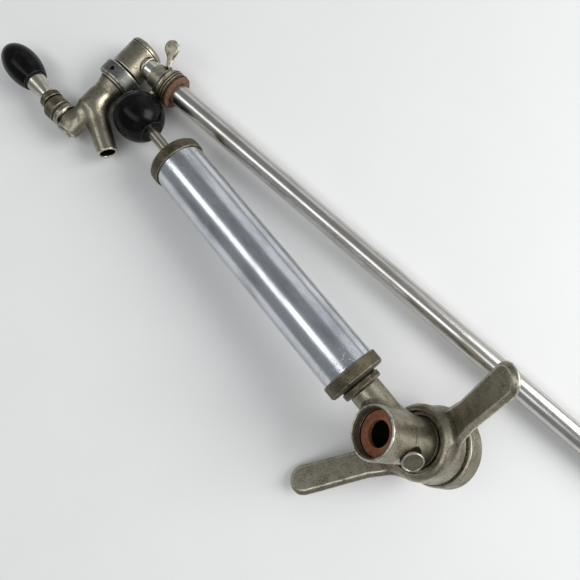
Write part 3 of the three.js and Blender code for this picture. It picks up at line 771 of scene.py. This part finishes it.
def egg_outline():
    """A blunt egg with its narrow end on the ferrule."""
    outline = [(0, EGG.start), (EGG.seat, EGG.start)]
    steps = 40
    for step in range(steps + 1):
        height = EGG.start + 0.8 + (EGG.end - EGG.start - 0.8) * sin(step / steps * pi / 2)
        reach = EGG.tail if height < EGG.widest else EGG.end - EGG.widest
        share = max(0.0, 1 - ((height - EGG.widest) / reach) ** 2)
        outline.append((EGG.radius * share**0.5, height))
    outline[-1] = (0, EGG.end)
    return outline


def build_lever():
    bore = STEM_BORE
    stem = [(0, -12.4), (2, -10), (2, -5.6), *arc(6, 0, -68, 56, 16), (STEM_RADIUS, 6), (STEM_RADIUS, 34)]
    turn_piece("lever_stem", lever_spot, NICKEL, [*stem, (0, 34)], 0.2)
    collar = [(bore, 16.9), (6.55, 16.3), (9.6, 14.2), (9.6, 19.8), (7, 22.5), (bore, 22.5)]
    turn_piece("lever_collar", lever_spot, ROUGH_NICKEL, collar, 0.6)
    ferrule = [(bore, 22.8), (6.3, 22.8), (6.6, 26.8), (8.9, 38), (9, 40), (bore, 40)]
    turn_piece("lever_ferrule", lever_spot, BRIGHT, ferrule, 0.6)
    turn_piece("lever_knob", lever_spot, BLACK, egg_outline(), 0.5)


def build_faucet():
    low, high = (-52, -17, 23), (19, 17, 92)
    # the inside of the spout gets painted shade
    body = cast("faucet_body_form", faucet_body_field, low, high, 0.6, spout_bore_field)
    stand_in(body, "faucet_body", shank_spot, NICKEL)
    plug_spot = shank_spot @ Matrix.Translation((PLUG_LIFT * MM, 0, 0))
    plug = [(0, 87.6), (5.8, 87.6), (5.8, 90.3), (6.8, 90.3), (6.8, 92), (6, 92.7), (2, 92.7), (0, 92.4)]
    turn_piece("faucet_front_plug", plug_spot, BRIGHT, plug, 0.3)
    bonnet = [(6.4, 17.9), (10.4, 17.9), (11, 18.5), (11, 26.2), (9.4, 28.4), (8.8, 28.4), (6.4, 20.5)]
    turn_piece("faucet_bonnet", boss_spot, ROUGH_NICKEL, bonnet)
    build_lever()


# ---------------------------------------------------------------- coupler

NECK = SimpleNamespace(start=-14, top=38.8, mouth=18.3, mouth_floor=27)
ARM = SimpleNamespace(radius=13, end=47.1, tail=8, tail_end=52.9, bore=4)
DISC = SimpleNamespace(radius=19.1, start=-16.2, end=-10.6)
STEM = SimpleNamespace(radius=16.8, start=-45.5)
NECK_THREAD = SimpleNamespace(radius=17.3, pitch=1.8, depth=0.7, start=31.6, end=38.2, outer=18.25)
HUB = SimpleNamespace(low=-34.9, high=-9.6, space=24)
WING = SimpleNamespace(
    azimuth=radians(80), rise=radians(27), root=22, height=-21, length=94, tip=12.4, thickness=6.8
)
PLUG = SimpleNamespace(rise=radians(25), turn=radians(13), height=2.3, boss=7.4, boss_end=24.5, bore=5.3)
SKIRT = SimpleNamespace(inner=17.2, bore=27, radius=31, low=-50.3, shelf=-39, top=-35.2)

arm_way = (cos(PUMP_ELEVATION), 0, sin(PUMP_ELEVATION))
plug_way = (
    -cos(PLUG.rise) * cos(PLUG.turn),
    -cos(PLUG.rise) * sin(PLUG.turn),
    sin(PLUG.rise),
)


def coupler_body_field(points):
    """The coupler casting: threaded neck, arm to the pump, plug boss, base disc and stem."""
    across, along = about(points, AXIS)
    stations = [(-10.6, 18.4), (12, 18.4), (12.6, 18.8), (34.8, 19.9), (38.8, 19.9)]
    body = column(across, along, NECK.start, NECK.top, stations, 0.9)
    arm_place = about(points, arm_way)
    body = fused(body, column(*arm_place, 0, ARM.end, ARM.radius, 0.7), 7.0)
    plug_place = about(points, plug_way, (0, 0, PLUG.height))
    body = fused(body, column(*plug_place, 0, PLUG.boss_end, PLUG.boss, 0.6), 1.0)
    body = fused(body, column(*arm_place, 40, ARM.tail_end, ARM.tail, 0.2), 0.5)
    body = fused(body, column(across, along, DISC.start, DISC.end, DISC.radius, 0.7), 0.8)
    body = fused(body, column(across, along, STEM.start, NECK.start, STEM.radius, 0.5), 0.5)
    body = carved(body, column(across, along, NECK.mouth_floor, 60, NECK.mouth, CUT_EDGE), 0.5)
    body = carved(body, column(across, along, -60, 60, ROD_HOLE, CUT_EDGE), 0.6)
    body = carved(body, column(*arm_place, 8, 60, ARM.bore, CUT_EDGE))
    return carved(body, column(*plug_place, 16.7, 40, PLUG.bore, CUT_EDGE))


def coupler_shade_field(points):
    """The passage for the rod, which gets painted shade, and the side of the plug boss, which gets a painted
    shadow under the plug's head.
    """
    across, along = about(points, AXIS)
    passage = np.maximum(across - 10.2, along - 26.9)
    plug_across, plug_along = about(points, plug_way, (0, 0, PLUG.height))
    return np.minimum(passage, np.maximum(plug_across - 8.2, 18.5 - plug_along))


def paddle_field(points, azimuth):
    """One paddle of the locking ring, which rises from the hub and ends round."""
    x = points[..., 0] * cos(azimuth) + points[..., 1] * sin(azimuth) - WING.root
    y = points[..., 1] * cos(azimuth) - points[..., 0] * sin(azimuth)
    z = points[..., 2] - WING.height
    along = x * cos(WING.rise) + z * sin(WING.rise)
    away = z * cos(WING.rise) - x * sin(WING.rise)
    middle = np.clip(along, 0, WING.length - WING.tip)
    width = np.interp(along, [0, 10, 30, WING.length], [16.5, 14.2, 11.7, WING.tip])
    return plate(np.hypot(along - middle, y) - width, away, WING.thickness, 3.0)


def wing_ring_field(points):
    """The locking ring: a broad rounded hub whose two paddles grow out of it."""
    across, along = about(points, AXIS)
    hub = column(across, along, HUB.low, HUB.high, [(-34.9, 29), (-32, 29), (-9.6, 28.6)], 4.0)
    hub = np.maximum(hub, HUB.low - along)
    body = hub
    for azimuth in (WING.azimuth, WING.azimuth + pi):
        body = fused(body, paddle_field(points, azimuth), 9.0)
    inside_hub = column(across, along, -60, HUB.high, HUB.space, CUT_EDGE)
    body = np.where(inside_hub < 0, hub, body)
    body = carved(body, column(across, along, -13, 30, 22.8, CUT_EDGE), 1.2)
    body = carved(body, column(across, along, -16.5, 30, 19.6, CUT_EDGE), 0.6)
    return carved(body, column(across, along, -60, 30, 17.2, CUT_EDGE), 0.6)


def build_neck_thread():
    """The thread inside the neck's mouth, which is plain in the CAD casting."""
    thread = NECK_THREAD
    line = thread_line(thread.radius, thread.end, thread.start, thread.pitch)
    liner = [(thread.outer, thread.end), *line, (thread.outer, thread.start)]
    mesh = turned("neck_thread", liner, 0.1, (thread.radius, thread.pitch, -thread.depth))
    fit(mesh, "coupler_body", pump_spot, ROUGH_NICKEL)


def build_relief_plug():
    spot = placement(Vector((0, 0, PLUG.height * MM)), Vector(plug_way), Vector((0, 0, 1)))
    head = [(8.1, 24.9), (8.1, 26.3), (7.6, 26.9), (6.9, 26.9), (6.5, 26.4), (0, 26.4)]
    turn_piece("relief_plug", pump_spot @ spot, NICKEL, [(0, 17), (5, 17), (5, 24.9), *head], 0.3)


def build_skirt():
    wall = [(SKIRT.bore, SKIRT.shelf), (SKIRT.bore, SKIRT.low), (30.4, SKIRT.low), (SKIRT.radius, -49.7)]
    rim = [(SKIRT.radius, -36), (30.2, SKIRT.top)]
    outline = [(SKIRT.inner, SKIRT.shelf), *wall, *rim, (SKIRT.inner, SKIRT.top)]
    turn_piece("lock_skirt", pump_spot, STAINED_NICKEL, outline, 0.6)


def build_coupler():
    low, high = (-35, -24, -47), (54, 24, 46)
    # the rod's passage gets painted shade, and the side of the plug boss a painted shadow
    body = cast("coupler_body_form", coupler_body_field, low, high, 0.7, coupler_shade_field)
    stand_in(body, "coupler_body", pump_spot, NICKEL)
    build_neck_thread()
    turn_piece("neck_washer", pump_spot, RED_RUBBER, ring_outline(WASHER_BORE, 16.9, 27.3, 31.2, 0.5))
    build_relief_plug()
    ring = cast("wing_ring_form", wing_ring_field, (-42, -112, -36), (42, 112, 32), 0.75)
    stand_in(ring, "wing_ring", pump_spot, NICKEL)
    build_skirt()
    turn_piece("stem_locknut", pump_spot, ROUGH_NICKEL, ring_outline(17.1, 21.5, -43.4, -39.3, 0.6))
    turn_piece("keg_seal", pump_spot, DARK_RUBBER, ring_outline(11.5, 16.4, -48.6, -45.8, 0.5))


# ---------------------------------------------------------------- hand pump

BARREL = SimpleNamespace(radius=22.2, bore=20.7, start=57.8, end=291)
COLLAR_BORE = 22.5
PLUNGER = SimpleNamespace(radius=4.76, start=66, end=333, bore=5.06)
KNOB = SimpleNamespace(centre=345.5, radius=22, base=326.1, hole=8, groove=1.3, grooves=(22, 33, 44))


def knob_outline():
    """A ball with a flat underside, and three grooves round its outer half."""
    centre, radius, hole_top = KNOB.centre, KNOB.radius, KNOB.base + KNOB.hole
    outline = [(0, hole_top), (PLUNGER.bore, hole_top), (PLUNGER.bore, KNOB.base)]
    outline += arc(radius, centre, -60.5, 16, 18)
    for angle in KNOB.grooves:
        outline += arc(radius, centre, angle - 2.6, angle - 2.0, 1)
        outline += arc(radius - KNOB.groove, centre, angle - 0.6, angle + 0.6, 1)
        outline += arc(radius, centre, angle + 2.0, angle + 2.6, 1)
    outline += arc(radius, centre, 50, 86, 8)
    outline.append((0, centre + radius))
    return outline


def build_pump():
    adaptor = ring_outline(8.3, 16.5, 47.4, 53, 1.0)
    turn_piece("adaptor_ring", barrel_spot, ROUGH_NICKEL, adaptor, 0.5)
    bottom = [(4, 54.3), (22.6, 54.3), (24.2, 55.9), (24.2, 65), (23.5, 65.7), (COLLAR_BORE, 65.7)]
    turn_piece("bottom_collar", barrel_spot, ROUGH_NICKEL, [*bottom, (COLLAR_BORE, 57.5), (4, 57.5)], 0.5)
    wall = ring_outline(BARREL.bore, BARREL.radius, BARREL.start, BARREL.end)
    turn_piece("pump_barrel", barrel_spot, CHROME, wall, 0.3)
    top = [(COLLAR_BORE, 284.5), (23.7, 284.5), (24, 287.5), (23.7, 292.5), (21.9, 294.5), (7.5, 294.5)]
    turn_piece("top_collar", barrel_spot, ROUGH_NICKEL, [*top, (7.5, 291.3), (COLLAR_BORE, 291.3)], 0.5)
    guide = [(PLUNGER.bore, 289.5), (7.2, 289.5), (7.2, 294.8), (8.6, 294.8), (8.6, 295.8)]
    bushing = [*guide, (8.1, 296.3), (PLUNGER.bore, 296.3)]
    turn_piece("plunger_bushing", barrel_spot, BRASS, bushing, 0.3)
    side = [(PLUNGER.radius, PLUNGER.start), (PLUNGER.radius, PLUNGER.end)]
    turn_piece("plunger_rod", barrel_spot, OLD_ROD, [(0, PLUNGER.start), *side, (0, PLUNGER.end)], 0.4)
    turn_piece("pump_knob", barrel_spot, BLACK, knob_outline(), 0.4)


def dress_hidden_nodes():
    """CAD parts that sit inside others keep their shape, and take an aged finish."""
    finishes = {
        "coupling_washer": RED_RUBBER,
        "faucet_seat_washer": RED_RUBBER,
        "faucet_shaft": BRASS,
        "bonnet_seal": DARK_RUBBER,
        "piston_cup": DARK_RUBBER,
        "piston_nut": BRASS,
        "adaptor_gasket": DARK_RUBBER,
        "skirt_lug_1": NICKEL,
        "skirt_lug_2": NICKEL,
    }
    for node, material in finishes.items():
        mesh = frame["nodes"][node].data
        mesh.materials.clear()
        mesh.materials.append(material)


# ---------------------------------------------------------------- floor, light and camera


def floor_material():
    look = Look("pale_floor", 0.0)
    cloud = look.noise(60, 3.0)
    colour = look.mix(cloud, tint(0.84, 0.84, 0.83), tint(0.88, 0.88, 0.87))
    return look.finish(colour, 0.6, look.bump(look.noise(3), 0.01))


def build_floor():
    mesh = bpy.data.meshes.new("floor")
    reach = 4.0
    corners = [(-reach, -reach, 0), (reach, -reach, 0), (reach, reach, 0), (-reach, reach, 0)]
    mesh.from_pydata(corners, [], [(0, 1, 2, 3)])
    mesh.materials.append(floor_material())
    floor = bpy.data.objects.new("floor", mesh)
    bpy.context.scene.collection.objects.link(floor)


def soft_light(name, location, target, length, width, energy):
    light = bpy.data.lights.new(name, "AREA")
    light.shape = "RECTANGLE"
    light.size = length
    light.size_y = width
    light.energy = energy
    lamp = bpy.data.objects.new(name, light)
    lamp.location = location
    lamp.rotation_euler = (Vector(target) - Vector(location)).to_track_quat("-Z", "Y").to_euler()
    bpy.context.scene.collection.objects.link(lamp)


def build_light():
    world = bpy.data.worlds.new("studio")
    world.use_nodes = True
    background = world.node_tree.nodes["Background"]
    background.inputs["Color"].default_value = tint(0.90, 0.95, 1.0)
    background.inputs["Strength"].default_value = 0.26
    bpy.context.scene.world = world
    soft_light("key", (1.1, 1.0, 1.1), (0.05, 0, 0), length=1.2, width=1.2, energy=29.5)
    soft_light("window", (-0.3, 1.5, 0.8), (-0.3, 0, 0), length=2.4, width=1.1, energy=4)
    soft_light("ceiling", (-0.5, -0.62, 1.4), (-0.5, 0, 0), length=2.4, width=0.5, energy=8)


def build_camera():
    camera = bpy.data.objects.new("camera", bpy.data.cameras.new("camera"))
    camera.data.lens = 35.5
    camera.data.sensor_width = 36
    camera.location = (-0.0198, -0.0299, 0.4867)
    camera.rotation_euler = Euler((radians(8.13), radians(1.54), radians(41.78)))
    bpy.context.scene.collection.objects.link(camera)
    bpy.context.scene.camera = camera


build_rod_half()
build_faucet()
build_coupler()
build_pump()
dress_hidden_nodes()
build_floor()
build_light()
build_camera()
bpy.context.scene.view_settings.view_transform = "Standard"
